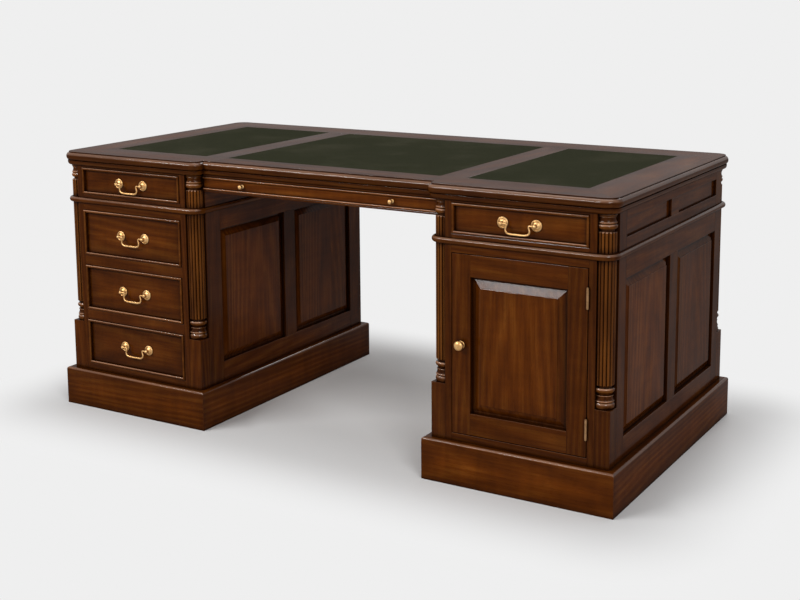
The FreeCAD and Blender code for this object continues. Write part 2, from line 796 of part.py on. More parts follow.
def columns(label, shape):
    outer = f"({case_out} - dims.column_inset)"
    inner = f"({case_in} + dims.column_inset)"
    deep = f"({case_front} - dims.column_inset)"
    spots = (
        (outer, f"-{deep}", 90), (inner, f"-{deep}", 0), (outer, deep, 180),
        (f"-{outer}", f"-{deep}", 0), (f"-{inner}", f"-{deep}", 90), (f"-{outer}", deep, 270),
    )
    pieces = []
    for x, y, angle in spots:
        column = doc.addObject("Part::Feature", label)
        column.Shape = shape
        place_at(column, x, y, "0", about_z(angle))
        pieces.append(column)
    node(label, pieces)


# Door on one station: way is +1 at the front of the right pedestal, -1 at the rear of the left one.
def door(word, way):
    u = signed((f"{open_in} + dims.door_gap", f"{open_out} - dims.hinge_gap"), way)
    v = signed((f"{case_front} - dims.door_thickness", case_front), way)
    z = inset((open_low, open_high), "dims.door_gap")
    panel_u = inset(u, "dims.door_stile")
    panel_z = inset(z, "dims.door_rail")
    plate_v = signed((f"{case_front} - dims.panel_recess - dims.panel_plate",
                      f"{case_front} - dims.panel_recess"), way)
    groove = board(f"{word}_door_groove", inset(panel_u, "-dims.tongue_depth"), plate_v,
                   inset(panel_z, "-dims.tongue_depth"))
    frame = [
        board(f"{word}_door_stile", (u[0], panel_u[0]), v, z),
        board(f"{word}_door_stile", (panel_u[1], u[1]), v, z),
        board(f"{word}_door_rail", panel_u, v, (z[0], panel_z[0])),
        board(f"{word}_door_rail", panel_u, v, (panel_z[1], z[1])),
    ]
    node(f"{word}_door_frame", grooved(frame, groove))
    margin = f"{-way} * ({case_front} - dims.panel_recess)"
    panel = fielded_panel(
        f"{word}_door_panel", f"{panel_u[1]} - ({panel_u[0]})", f"{panel_z[1]} - ({panel_z[0]})",
        "dims.door_bevel", (middle(panel_u), margin, middle(panel_z)), 180 if way > 0 else 0)
    node(f"{word}_door_panel", [panel])
    knob_x = f"{way} * ({open_in} + dims.door_gap + dims.door_stile / 2)"
    node(f"{word}_door_knob", [knob(f"{word}_door_knob", "knob", knob_x, case_front, middle(z), way)])
    leaves = []
    fixed = []
    axis_x = f"{way} * ({open_out} - dims.hinge_gap / 2)"
    axis_y = f"{-way} * ({case_front} + dims.pin_offset)"
    for level in (f"{z[0]} + dims.hinge_inset", f"{z[1]} - dims.hinge_inset"):
        moving, still, pin = hinge(word)
        turn = about_z(0 if way > 0 else 180)
        for piece in (moving, still, pin):
            place_at(piece, axis_x, axis_y, level, turn)
        leaves.append(moving)
        fixed += [still, pin]
    node(f"{word}_door_hinge_leaves", leaves)
    return fixed


# Butt hinge about the local z axis: moving leaf on the -x side, fixed leaf on the +x side with a pin.
def hinge(word):
    half = "(dims.hinge_height / 2)"
    third = "(dims.hinge_height / 6)"
    gap = "(dims.knuckle_gap / 2)"
    deep = ("dims.pin_offset", "dims.pin_offset + dims.leaf_width")
    web_deep = ("0", "dims.pin_offset")
    still_x = ("dims.hinge_gap / 2 - dims.leaf_thickness", "dims.hinge_gap / 2")
    ends = ((f"-{half}", f"-{third} - {gap}"), (f"{third} + {gap}", half))
    core = (f"-{third} + {gap}", f"{third} - {gap}")
    results = []
    for side, x, knuckles in (("moving", flip(still_x), (core,)), ("fixed", still_x, ends)):
        pieces = [block(f"{word}_{side}_plate", x, deep, (f"-{half}", half))]
        for span in knuckles:
            pieces.append(block(f"{word}_{side}_web", x, web_deep, span))
            pieces.append(cylinder(f"{word}_{side}_knuckle", "dims.knuckle_radius", *span))
        leaf = fused(f"{word}_{side}_leaf", pieces)
        bore = cylinder(f"{word}_{side}_bore", "dims.pin_radius + dims.pin_fit",
                        f"-{half} - {REACH}", f"{half} + {REACH}")
        results.append(cut(f"{word}_{side}_hinge_leaf", leaf, bore))
    tip = "dims.pin_tip_height"
    pin = fused(f"{word}_hinge_pin", [
        cylinder(f"{word}_pin_shank", "dims.pin_radius", f"-{half}", half),
        cylinder(f"{word}_pin_foot", "dims.pin_tip_radius", f"-{half} - {tip}", f"-{half}"),
        cylinder(f"{word}_pin_head", "dims.pin_tip_radius", half, f"{half} + {tip}"),
    ])
    return results[0], results[1], pin


def outward(way):
    return FreeCAD.Rotation(along_x, 90 * way)


# Turned knob standing out of a face; sort names its set of sizes.
def knob(name, sort, x, face, z, way):
    rose = f"dims.{sort}_rose_height"
    stand = f"dims.{sort}_stand"
    pieces = [
        cylinder(f"{name}_rose", f"dims.{sort}_rose_radius", "0", rose),
        cylinder(f"{name}_neck", f"dims.{sort}_neck_radius", "0", stand),
        head(f"{name}_head", f"dims.{sort}_radius", f"dims.{sort}_depth", stand),
    ]
    whole = fused(name, pieces)
    place_at(whole, x, f"{-way} * ({face})", z, outward(way))
    return whole


# Drawer in the opening u by z of a front at plane. The bead runs round all four sides of its front, but
# along the top and bottom alone on a shallow centre drawer.
def drawer(label, u, plane, z, way, shallow=False):
    ends = not shallow
    prefix = "dims.centre_" if shallow else "dims."
    bead = f"{prefix}bead_width"
    crest = f"({plane} + {prefix}bead_proud)"
    face = f"({plane} - {prefix}face_recess)"
    back = f"({face} - dims.front_thickness)"
    tail = f"({back} - {drawer_length})"
    gap = "dims.drawer_gap"
    outer_u = inset(u, gap)
    outer_z = inset(z, gap)
    inner_u = inset(outer_u, bead) if ends else outer_u
    inner_z = inset(outer_z, bead)
    bead_y = flip(signed((back, crest), way))
    bead_pieces = []
    if ends:
        ring = doc.addObject("PartDesign::Body", f"{label}_bead")
        body_box(ring, "AdditiveBox", outer_u, bead_y, outer_z)
        through = flip(signed((f"{back} - {REACH}", f"{crest} + {REACH}"), way))
        body_box(ring, "SubtractiveBox", inner_u, through, inner_z)
        bead_pieces.append(ring)
    else:
        for span in ((outer_z[0], inner_z[0]), (inner_z[1], outer_z[1])):
            strip = doc.addObject("PartDesign::Body", f"{label}_bead")
            body_box(strip, "AdditiveBox", outer_u, bead_y, span)
            bead_pieces.append(strip)
    for piece in bead_pieces:
        doc.recompute()
        box = piece.Shape.BoundBox
        crest_y = max(abs(box.YMin), abs(box.YMax))

        def is_crest(edge):
            spot = edge.BoundBox
            on_crest = min(abs(spot.YMin), abs(spot.YMax)) > crest_y - TINY
            return on_crest and (ends or spot.XLength > spot.ZLength)

        rounded(piece, f"{label}_crest", f"({bead} - dims.bead_flat) / 2", is_crest)
    side = "dims.side_thickness"
    side_high = f"{z[1]} - {prefix}side_drop"
    side_z = (f"{z[0]} + dims.run_gap", side_high)
    body_v = signed((tail, back), way)
    between = inset(outer_u, side)
    bottom_z = (f"{z[0]} + dims.bottom_lift", f"{z[0]} + dims.bottom_lift + dims.bottom_thickness")
    back_v = signed((tail, f"{tail} + dims.back_thickness"), way)
    boards = [
        board(f"{label}_front", inner_u, signed((back, face), way), inner_z),
        board(f"{label}_side", (outer_u[0], between[0]), body_v, side_z),
        board(f"{label}_side", (between[1], outer_u[1]), body_v, side_z),
        board(f"{label}_bottom", between, body_v, bottom_z),
        board(f"{label}_back", between, back_v, (bottom_z[1], side_high)),
    ]
    node(label, boards + bead_pieces)


# Path through the given corners with each inner corner rounded by its radius.
def rounded_path(corners, radii):
    edges = []
    last = corners[0]
    for before, corner, after, radius in zip(corners, corners[1:], corners[2:], radii):
        inward = (before - corner).normalize()
        onward = (after - corner).normalize()
        half = inward.getAngle(onward) / 2
        reach = radius / math.tan(half)
        start = corner + inward * reach
        finish = corner + onward * reach
        bisector = (inward + onward).normalize()
        waypoint = corner + bisector * (radius / math.sin(half) - radius)
        edges.append(Part.makeLine(last, start))
        edges.append(Part.Arc(start, waypoint, finish).toShape())
        last = finish
    edges.append(Part.makeLine(last, corners[-1]))
    return Part.Wire(edges)


# Swan-neck bail: straight pins at the ends, necks that turn in and down, and a low flat grip.
def bail_shape():
    pin_end = dim("post_spacing") / 2 + dim("pin_reach")
    outline = [(pin_end, 0), (dim("bail_neck"), 0), (dim("bail_half"), -dim("bail_drop"))]
    right = [FreeCAD.Vector(x, 0, z) for x, z in outline]
    left = [FreeCAD.Vector(-x, 0, z) for x, z in reversed(outline)]
    bends = [dim("neck_bend"), dim("bail_bend"), dim("bail_bend"), dim("neck_bend")]
    path = rounded_path(right + left, bends)
    section = Part.Wire(Part.makeCircle(dim("wire_radius"), right[0], along_x))
    return path.makePipeShell([section], True, False)


# Rosette with its post and the eye that takes one pin of the bail.
def post(name, x, face, z, way):
    plate = "dims.rosette_thickness"
    stand = "dims.pull_stand"
    ring = doc.addObject("Part::Torus", f"{name}_ring")
    ring.setExpression("Radius1", "dims.rosette_ring_place")
    ring.setExpression("Radius2", "dims.rosette_ring_radius")
    place_at(ring, "0", "0", plate)
    pieces = [
        cylinder(f"{name}_rosette", "dims.rosette_radius", "0", plate),
        ring,
        cone(f"{name}_dome", "dims.dome_radius", "dims.post_radius", plate, f"{plate} + dims.dome_height"),
        cylinder(f"{name}_stem", "dims.post_radius", "0", stand),
        ball(f"{name}_eye", "dims.eye_radius", stand),
    ]
    reach = f"(dims.eye_radius + {REACH})"
    bore = cylinder(f"{name}_bore", "dims.wire_radius + dims.wire_fit", f"-{reach}", reach)
    place_at(bore, f"-{reach}", "0", stand, FreeCAD.Rotation(along_y, 90))
    whole = cut(name, fused(f"{name}_whole", pieces), bore)
    place_at(whole, x, f"{-way} * ({face})", z, outward(way))
    return whole


def pull(label, u, plane, z, way, wire):
    face = f"({plane} - dims.face_recess)"
    centre = f"({middle(u)})"
    level = f"({middle(z)})"
    posts = []
    for side in (-1, 1):
        x = f"{centre} + {side} * dims.post_spacing / 2"
        posts.append(post(f"{label}_post", x, face, level, way))
    node(f"{label}_pull", posts)
    bail = doc.addObject("Part::Feature", f"{label}_bail")
    bail.Shape = wire
    place_at(bail, centre, f"{-way} * ({face} + dims.pull_stand)", level)
    node(f"{label}_bail", [bail])


top_border()

side_frieze = []
frieze_panels = []
for word, sign in (("left", -1), ("right", 1)):
    frame_pieces, panel_pieces = frieze_side(word, sign)
    side_frieze += frame_pieces
    frieze_panels += panel_pieces
node("frieze_frame", side_frieze + frieze_middle())
node("frieze_end_panels", frieze_panels)
columns("frieze_columns", upper_column())
node("waist_mouldings", [waist_board("left", -1), waist_board("right", 1)])

side_panels = []
inside = []
for word, sign in (("left", -1), ("right", 1)):
    side_panels += pedestal(word, sign, -sign)
    inside += inner_boards(word, sign)
    plinth(word, sign)
node("side_panels", side_panels)
node("pedestal_boards", inside)
columns("corner_columns", lower_column())
node("drawer_runners", runners())
node("case_hinge_leaves", door("front", 1) + door("rear", -1))

bail_wire = bail_shape()
bay = (open_in, open_out)
frieze_z = (frieze_open_low, frieze_open_high)
for word, way in (("front", 1), ("rear", -1)):
    for side, sign in (("left", -1), ("right", 1)):
        label = f"{word}_{side}_frieze_drawer"
        drawer(label, signed(bay, sign), case_front, frieze_z, way)
        pull(label, signed(bay, sign), case_front, frieze_z, way, bail_wire)
    for count, side in enumerate(("lower", "middle", "upper")):
        label = f"{word}_{side}_drawer"
        low = f"({open_low} + {count} * ({drawer_opening} + dims.drawer_rail))"
        z = (low, f"{low} + {drawer_opening}")
        drawer(label, signed(bay, -way), case_front, z, way)
        pull(label, signed(bay, -way), case_front, z, way, bail_wire)
    label = f"{word}_centre_drawer"
    plane = centre_front if way > 0 else case_front
    centre_z = (centre_open_low, centre_open_high)
    drawer(label, (f"-{case_in}", case_in), plane, centre_z, way, shallow=True)
    face = f"({plane} - dims.centre_face_recess)"
    knobs = []
    for sign in (-1, 1):
        x = f"{sign} * ({case_in} - dims.small_knob_inset)"
        knobs.append(knob(f"{label}_knob", "small_knob", x, face, middle(centre_z), way))
    node(f"{label}_knobs", knobs)

doc.recompute()
for piece in doc.Objects:
    if "Invalid" in piece.State or "Error" in piece.State:
        raise RuntimeError(f"{piece.Name} did not build: {piece.State}")
os.makedirs("parts", exist_ok=True)
for label, piece in nodes.items():
    if piece.Shape.isNull() or not piece.Shape.isValid() or not piece.Shape.Solids:
        raise RuntimeError(f"{label} has no valid solid")
    piece.Shape.exportStep(f"parts/{label}.step")
print(len(nodes), "nodes")
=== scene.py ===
import json
import math
import random
import bmesh
import bpy
from mathutils import Matrix, Vector

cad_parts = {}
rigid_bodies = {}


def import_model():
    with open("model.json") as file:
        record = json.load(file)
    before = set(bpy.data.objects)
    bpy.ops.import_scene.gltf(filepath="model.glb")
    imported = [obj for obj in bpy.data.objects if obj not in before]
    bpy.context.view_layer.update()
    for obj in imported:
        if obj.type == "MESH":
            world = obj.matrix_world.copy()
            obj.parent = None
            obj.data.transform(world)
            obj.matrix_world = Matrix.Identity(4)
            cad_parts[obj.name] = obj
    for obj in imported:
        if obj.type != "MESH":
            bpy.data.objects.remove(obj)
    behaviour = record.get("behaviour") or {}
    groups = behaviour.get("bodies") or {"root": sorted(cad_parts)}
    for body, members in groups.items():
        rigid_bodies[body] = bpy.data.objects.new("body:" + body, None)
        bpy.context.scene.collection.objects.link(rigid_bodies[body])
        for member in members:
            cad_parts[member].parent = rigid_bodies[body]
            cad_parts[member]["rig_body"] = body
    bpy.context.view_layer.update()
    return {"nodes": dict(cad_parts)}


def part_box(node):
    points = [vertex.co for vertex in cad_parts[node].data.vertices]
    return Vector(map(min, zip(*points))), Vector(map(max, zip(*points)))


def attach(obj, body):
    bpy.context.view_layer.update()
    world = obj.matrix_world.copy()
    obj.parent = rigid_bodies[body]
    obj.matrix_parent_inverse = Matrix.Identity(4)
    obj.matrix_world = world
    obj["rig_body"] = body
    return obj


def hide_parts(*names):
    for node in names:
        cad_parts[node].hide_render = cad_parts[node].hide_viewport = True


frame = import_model()
nodes = frame["nodes"]
scene = bpy.context.scene
mm = 0.001
weld = 1e-6     # metres: corners this close become one
print("frame loaded,", len(nodes), "nodes")


# A socket that can stand in a sum: each operator adds a Math node.
class Wire:
    def __init__(self, finish, socket):
        self.finish = finish
        self.socket = socket

    def sum(self, operation, *terms):
        return self.finish.add("ShaderNodeMath", {"operation": operation}, dict(enumerate(terms)))

    def __add__(self, other):
        return self.sum("ADD", self, other)

    def __sub__(self, other):
        return self.sum("SUBTRACT", self, other)

    def __rsub__(self, other):
        return self.sum("SUBTRACT", other, self)

    def __mul__(self, other):
        return self.sum("MULTIPLY", self, other)

    def __pow__(self, other):
        return self.sum("POWER", self, other)

    __radd__ = __add__
    __rmul__ = __mul__


# One node tree, a material's or the world's.
class Finish:
    def __init__(self, owner):
        owner.use_nodes = True
        self.owner = owner
        self.tree = owner.node_tree
        self.tree.nodes.clear()

    def add(self, kind, settings=None, sockets=None, output=0):
        node = self.tree.nodes.new(kind)
        for name, value in (settings or {}).items():
            if name == "stops":
                self.setStops(node.color_ramp, value)
            else:
                setattr(node, name, value)
        for name, value in (sockets or {}).items():
            if isinstance(value, Wire):
                self.tree.links.new(value.socket, node.inputs[name])
            else:
                node.inputs[name].default_value = value
        return Wire(self, node.outputs[output]) if node.outputs else node

    def setStops(self, ramp, stops):
        while len(ramp.elements) < len(stops):
            ramp.elements.new(0.5)
        for element, (place, colour) in zip(ramp.elements, stops):
            element.position = place
            element.color = (*colour, 1)

    def noise(self, vector, scale=1.0, detail=3.0, roughness=0.5, distortion=0.0):
        return self.add("ShaderNodeTexNoise", None, {
            "Vector": vector, "Scale": scale, "Detail": detail,
            "Roughness": roughness, "Distortion": distortion})

    def ramp(self, value, stops):
        return self.add("ShaderNodeValToRGB", {"stops": stops}, {"Fac": value})

    def fade(self, value, low, high):  # 0 below low, 1 above high, smooth between
        return self.add("ShaderNodeMapRange", {"interpolation_type": "SMOOTHSTEP"}, {
            "Value": value, "From Min": low, "From Max": high})

    def mix(self, share, first, second, blend="MIX"):
        return self.add("ShaderNodeMix", {"data_type": "RGBA", "blend_type": blend},
                        {0: share, 6: first, 7: second}, 2)

    def stretch(self, vector, scale):
        return self.add("ShaderNodeVectorMath", {"operation": "MULTIPLY"}, {0: vector, 1: scale})

    def attribute(self, name, output):
        return self.add("ShaderNodeAttribute", {"attribute_name": name}, None, output)

    def bump(self, height, strength, distance):
        return self.add("ShaderNodeBump", None, {
            "Height": height, "Strength": strength, "Distance": distance})

    def surface(self, sockets):
        shader = self.add("ShaderNodeBsdfPrincipled", None, sockets)
        self.add("ShaderNodeOutputMaterial", None, {"Surface": shader})
        return self.owner


def rgba(colour, gain=1.0):
    return (*(c * gain for c in colour), 1.0)


# What both woods share. A scale is per metre along, across and into a board. The two numbers of a part are
# where its mask is 0 and where it is 1.
figure = {
    "stripStart": 0.37,         # of a strip, from the middle of a board to a joint
    "stripShift": (0.83, 0.029, 0.013),
    "stripLuck": 9.0,
    "wanderScale": (2.2, 9.0, 9.0),
    "streakScale": (5.0, 130.0, 130.0),
    "broadScale": (1.6, 11.0, 11.0),
    "grainStops": (0.18, 0.50, 0.82),
    "ribbonScale": (26.0, 5.0, 5.0),
    "ribbonStops": [(0.3, (0.30, 0.30, 0.30)), (0.7, (1.0, 1.0, 1.0))],
    "poreScale": (70.0, 1500.0, 1500.0),
    "porePart": (0.60, 0.72),
    "poreGain": 0.4,            # of the dark colour
    "poreDullness": 0.4,
    "freePart": (0.72, 1.0),    # by how open a spot lies
    "patchScale": (4.0, 30.0, 30.0),
    "patchPart": (0.2, 0.7),
    "patchShare": 0.5,          # of the painted highlight, the rest is even
    "frontOrRearPart": (0.15, 0.55),   # by how far a face looks to the front or rear
    "roundedPart": (0.04, 0.20),    # by how tightly a moulding is rounded
    "tightPart": (0.30, 0.80),
    "roundedShare": 0.33,
    "tightShare": 0.67,
    "paintedHighlightPart": (0.10, 0.60),    # by how far a face looks up
    "glossPart": (0.15, 0.40),
    "brightPart": (0.05, 0.9),
    "cornerPart": (0.04, 0.66),
    "hazeScale": (3.0, 7.0, 7.0),
    "roughness": 0.5,           # under the coat
    "hazeRoughness": 0.2,
    "poreRoughness": 0.1,
    "poreHeight": -1.0,
    "streakHeight": 0.25,
    "height": 0.2 * mm,
}


# Polished wood. boardSpace runs along, across and into each board, boardPlace is measured from its middle,
# boardHalf is half its size, boardTone is its lightness, and roundedness is 1 on tightly rounded edges,
# which get wear and painted highlights.
def polishedWood(name, wood):
    finish = Finish(bpy.data.materials.new(name))
    board = finish.attribute("boardSpace", "Vector")
    place = finish.attribute("boardPlace", "Vector")
    half = finish.attribute("boardHalf", "Vector")
    tone = finish.attribute("boardTone", "Fac")
    rubbed = finish.attribute("rubbed", "Fac")

    # wide boards are glued up from strips, each with its own grain and tone
    across = finish.add("ShaderNodeSeparateXYZ", None, {0: place}, "Y")
    wide = finish.add("ShaderNodeSeparateXYZ", None, {0: half}, "Y")
    isWide = finish.add("ShaderNodeMath", {"operation": "GREATER_THAN"}, {0: wide, 1: wood["wide"]})
    strip = finish.add("ShaderNodeMath", {"operation": "FLOOR"},
                       {0: across * (1 / wood["strip"]) + figure["stripStart"]})
    shift = finish.add("ShaderNodeVectorMath", {"operation": "SCALE"},
                       {0: figure["stripShift"], "Scale": strip * isWide})
    board = finish.add("ShaderNodeVectorMath", None, {0: board, 1: shift})
    stripTone = finish.add("ShaderNodeTexWhiteNoise", {"noise_dimensions": "1D"},
                           {"W": strip + tone * figure["stripLuck"]})

    # growth rings of a log that leans a little, so that they run out in long tongues
    wander = finish.noise(finish.stretch(board, figure["wanderScale"]), detail=2.0)
    leaning = finish.add("ShaderNodeVectorMath", {"operation": "DOT_PRODUCT"},
                         {0: board, 1: (wood["lean"], 0.0, 1.0)}, "Value")
    spread = finish.add("ShaderNodeSeparateXYZ", None, {0: board}, "Y")
    radius = (leaning * leaning + spread * spread) ** 0.5
    ring = finish.add("ShaderNodeMath", {"operation": "PINGPONG"},
                      {0: radius * wood["rings"] + wander * wood["wander"], 1: 1.0})

    streak = finish.noise(finish.stretch(board, figure["streakScale"]), detail=4.0, roughness=0.6)
    broad = finish.noise(finish.stretch(board, figure["broadScale"]), detail=2.0)
    grain = ring * wood["ringShare"] + streak * wood["streakShare"] + broad * wood["broadShare"]
    colours = wood["dark"], wood["middle"], wood["light"]
    colour = finish.ramp(grain, list(zip(figure["grainStops"], colours)))

    # bands of light across the grain, as in quartered boards
    ribbon = finish.noise(finish.stretch(board, figure["ribbonScale"]), detail=1.0, distortion=0.6)
    colour = finish.mix(wood["ribbon"], colour, finish.ramp(ribbon, figure["ribbonStops"]), "OVERLAY")

    pores = finish.noise(finish.stretch(board, figure["poreScale"]), detail=1.0)
    pore = finish.fade(pores, *figure["porePart"])
    colour = finish.mix(pore * wood["poreShade"], colour, rgba(wood["dark"], figure["poreGain"]))

    shade = (stripTone - 0.5) * isWide * wood["stripTones"] + tone
    colour = finish.add("ShaderNodeVectorMath", {"operation": "SCALE"}, {0: colour, "Scale": shade})

    # the stain was left darker towards the edges of a board
    fromMiddle = finish.add("ShaderNodeVectorMath", {"operation": "ABSOLUTE"}, {0: place})
    room = finish.add("ShaderNodeVectorMath", {"operation": "SUBTRACT"}, {0: half, 1: fromMiddle})
    roomAlong = finish.add("ShaderNodeSeparateXYZ", None, {0: room}, "X")
    roomAcross = finish.add("ShaderNodeSeparateXYZ", None, {0: room}, "Y")
    inwards = finish.add("ShaderNodeMath", {"operation": "MINIMUM"}, {0: roomAlong, 1: roomAcross})
    outer, inner = wood["stain"]
    stain = finish.ramp(finish.fade(inwards, 0.0, wood["stainReach"]),
                        [(0.0, (outer,) * 3), (1.0, (inner,) * 3)])
    colour = finish.mix(1.0, colour, stain, "MULTIPLY")

    # wear is found only where a surface stands free of its neighbours; the crests and edges are painted
    # lighter, partly as real wear and partly as a painted highlight
    corner = finish.add("ShaderNodeAmbientOcclusion", {"samples": 6},
                        {"Distance": wood["cornerReach"]}, "AO")
    free = finish.fade(corner, *figure["freePart"])
    patches = finish.noise(finish.stretch(board, figure["patchScale"]), detail=2.0)
    patch = finish.fade(patches, *figure["patchPart"])
    colour = finish.mix(rubbed * free * patch * wood["wearAndHighlight"], colour, rgba(wood["worn"]))

    # painted highlight: the upper side of the mouldings is painted palest where it faces the front and
    # rear, as polish there would catch the light, and not at the ends
    facing = finish.add("ShaderNodeTexCoord", None, None, "Normal")
    upwards = finish.add("ShaderNodeSeparateXYZ", None, {0: facing}, "Z")
    alongDepth = finish.add("ShaderNodeSeparateXYZ", None, {0: facing}, "Y")
    frontOrRearFacing = finish.add("ShaderNodeMath", {"operation": "ABSOLUTE"}, {0: alongDepth})
    frontOrRearSide = finish.fade(frontOrRearFacing, *figure["frontOrRearPart"])
    rounded = finish.fade(rubbed, *figure["roundedPart"])
    tight = finish.fade(rubbed, *figure["tightPart"])
    moulded = rounded * figure["roundedShare"] + tight * figure["tightShare"]
    paintedHighlight = moulded * finish.fade(upwards, *figure["paintedHighlightPart"]) * frontOrRearSide
    paintedHighlight = paintedHighlight * (patch * figure["patchShare"] + (1 - figure["patchShare"]))
    colour = finish.mix(paintedHighlight * wood["paintedHighlightShare"], colour, rgba(wood["paintedHighlight"]))

    # old wax and stain in the corners, and painted shade in the same corners and in the gaps between parts
    waxedAndShaded = finish.fade(1 - corner, *figure["cornerPart"])
    colour = finish.mix(waxedAndShaded * wood["cornerShade"], colour, rgba(wood["waxAndShade"]))

    # upright surfaces have gone duller than the top and the upper side of mouldings, the seat sides most
    haze = finish.noise(finish.stretch(board, figure["hazeScale"]))
    upright = 1 - finish.fade(upwards, *figure["brightPart"])
    dulled = upright * (frontOrRearSide * wood["seatDullness"] + wood["uprightDullness"])
    gloss = rounded * finish.fade(upwards, *figure["glossPart"]) * wood["edgeCoat"]
    coat = (1 - dulled) * wood["coat"] + gloss
    return finish.surface({
        "Base Color": colour,
        "Roughness": haze * figure["hazeRoughness"] + pore * figure["poreRoughness"] + figure["roughness"],
        "Specular IOR Level": 0.0,
        "Coat Weight": (1 - haze * wood["dullness"]) * (1 - pore * figure["poreDullness"]) * coat,
        "Coat Roughness": wood["coatRoughness"],
        "Coat IOR": 1.5,
        "Normal": finish.bump(pore * figure["poreHeight"] + streak * figure["streakHeight"],
                              wood["relief"], figure["height"])})


mahogany = {
    "dark": (0.027, 0.0056, 0.0005),
    "middle": (0.071, 0.0165, 0.0012),
    "light": (0.130, 0.040, 0.0046),
    # worn crests and edges, partly a painted highlight
    "worn": (0.25, 0.082, 0.012),
    # painted highlight on the upper side of the mouldings
    "paintedHighlight": (0.58, 0.31, 0.185),
    "waxAndShade": (0.008, 0.0028, 0.0010),
    "wide": 0.085,          # half of the narrowest board that is glued up
    "strip": 0.074,
    "lean": 0.05,           # of the log against the board
    "rings": 150.0,         # per metre
    "wander": 2.6,
    "ringShare": 0.18,
    "streakShare": 0.50,
    "broadShare": 0.32,
    "ribbon": 0.16,
    "poreShade": 0.45,
    "stripTones": 0.14,
    "stain": (0.70, 1.18),  # at the edge and in the middle of a board
    "stainReach": 0.08,
    "wearAndHighlight": 0.6,
    "paintedHighlightShare": 0.74,
    "cornerReach": 0.018,
    "cornerShade": 0.9,
    "coat": 0.32,
    "edgeCoat": 0.56,       # more on the upper side of mouldings
    "dullness": 0.5,
    "uprightDullness": 0.37,
    "seatDullness": 0.23,   # more than on other upright faces
    "coatRoughness": 0.13,
    "relief": 0.22,
}

# drawer linings and inner boards, planed but not polished
lining = {
    "dark": (0.15, 0.075, 0.034),
    "middle": (0.27, 0.155, 0.078),
    "light": (0.38, 0.24, 0.135),
    "worn": (0.42, 0.29, 0.18),
    # painted highlight on the upper side of the mouldings
    "paintedHighlight": (0.44, 0.31, 0.20),
    "waxAndShade": (0.09, 0.050, 0.026),
    "wide": 0.085,
    "strip": 0.11,
    "lean": 0.07,
    "rings": 170.0,
    "wander": 2.2,
    "ringShare": 0.24,
    "streakShare": 0.46,
    "broadShare": 0.30,
    "ribbon": 0.10,
    "poreShade": 0.35,
    "stripTones": 0.10,
    "stain": (0.92, 1.0),
    "stainReach": 0.04,
    "wearAndHighlight": 0.3,
    "paintedHighlightShare": 0.3,
    "cornerReach": 0.012,
    "cornerShade": 0.5,
    "coat": 0.06,
    "edgeCoat": 0.0,
    "dullness": 0.5,
    "uprightDullness": 0.0,
    "seatDullness": 0.0,
    "coatRoughness": 0.45,
    "relief": 0.35,
}

hide = {
    "colour": (0.0270, 0.0280, 0.0155),
    "worn": (0.043, 0.042, 0.026),
    "crease": (0.010, 0.011, 0.006),
    "pebbleScale": 760.0,   # grains per metre
    "fineScale": 2600.0,
    "cloudScale": 5.5,
    "pebblePart": (0.02, 0.22),     # by the distance from a crease
    "wornPart": (0.42, 0.72),
    "creaseShade": 0.6,
    "roughness": 0.62,
    "cloudRoughness": 0.16,
    "creaseRoughness": 0.12,
    "ior": 1.03,
    "pebbleHeight": 0.8,
    "fineHeight": 0.2,
    "relief": 0.30,
    "height": 0.12 * mm,
}


def greenLeather():
    finish = Finish(bpy.data.materials.new("green_leather"))
    place = finish.add("ShaderNodeTexCoord", None, None, "Object")
    edge = finish.add("ShaderNodeTexVoronoi", {"feature": "DISTANCE_TO_EDGE"},
                      {"Vector": place, "Scale": hide["pebbleScale"], "Randomness": 1.0}, "Distance")
    pebble = finish.fade(edge, *hide["pebblePart"])
    crease = 1 - pebble
    fine = finish.noise(place, hide["fineScale"], detail=2.0)
    cloud = finish.noise(place, hide["cloudScale"], detail=4.0, roughness=0.6)
    colour = finish.mix(finish.fade(cloud, *hide["wornPart"]), rgba(hide["colour"]), rgba(hide["worn"]))
    colour = finish.mix(crease * hide["creaseShade"], colour, rgba(hide["crease"]))
    return finish.surface({
        "Base Color": colour,
        "Roughness": cloud * hide["cloudRoughness"] + crease * hide["creaseRoughness"] + hide["roughness"],
        "IOR": hide["ior"],
        "Normal": finish.bump(pebble * hide["pebbleHeight"] + fine * hide["fineHeight"],
                              hide["relief"], hide["height"])})


brass = {
    "colour": (0.56, 0.315, 0.120),
    "pale": (0.68, 0.42, 0.185),
    "dull": (0.26, 0.135, 0.045),
    "grimeAndShade": (0.05, 0.022, 0.007),
    "cornerReach": 0.007,
    "roughness": 0.32,
    "relief": 0.08,
}

# the hinges have gone duller than the pulls
hingeBrass = {
    "colour": (0.26, 0.146, 0.066),
    "pale": (0.36, 0.205, 0.100),
    "dull": (0.12, 0.07, 0.03),
    "grimeAndShade": (0.05, 0.022, 0.007),
    "cornerReach": 0.004,
    "roughness": 0.40,
    "relief": 0.12,
}

# what all the brass shares
patina = {
    "cloudScale": 55.0,     # per metre
    "speckScale": 900.0,
    "tarnishScale": 130.0,
    "palePart": (0.38, 0.66),
    "tarnishPart": (0.56, 0.74),
    "tarnishShade": 0.45,
    "grimeAndShadePart": (0.12, 0.75),
    "grimeShade": 0.9,
    "cloudRoughness": 0.10,
    "tarnishRoughness": 0.16,
    "speckRoughness": 0.06,
    "height": 0.1 * mm,
}


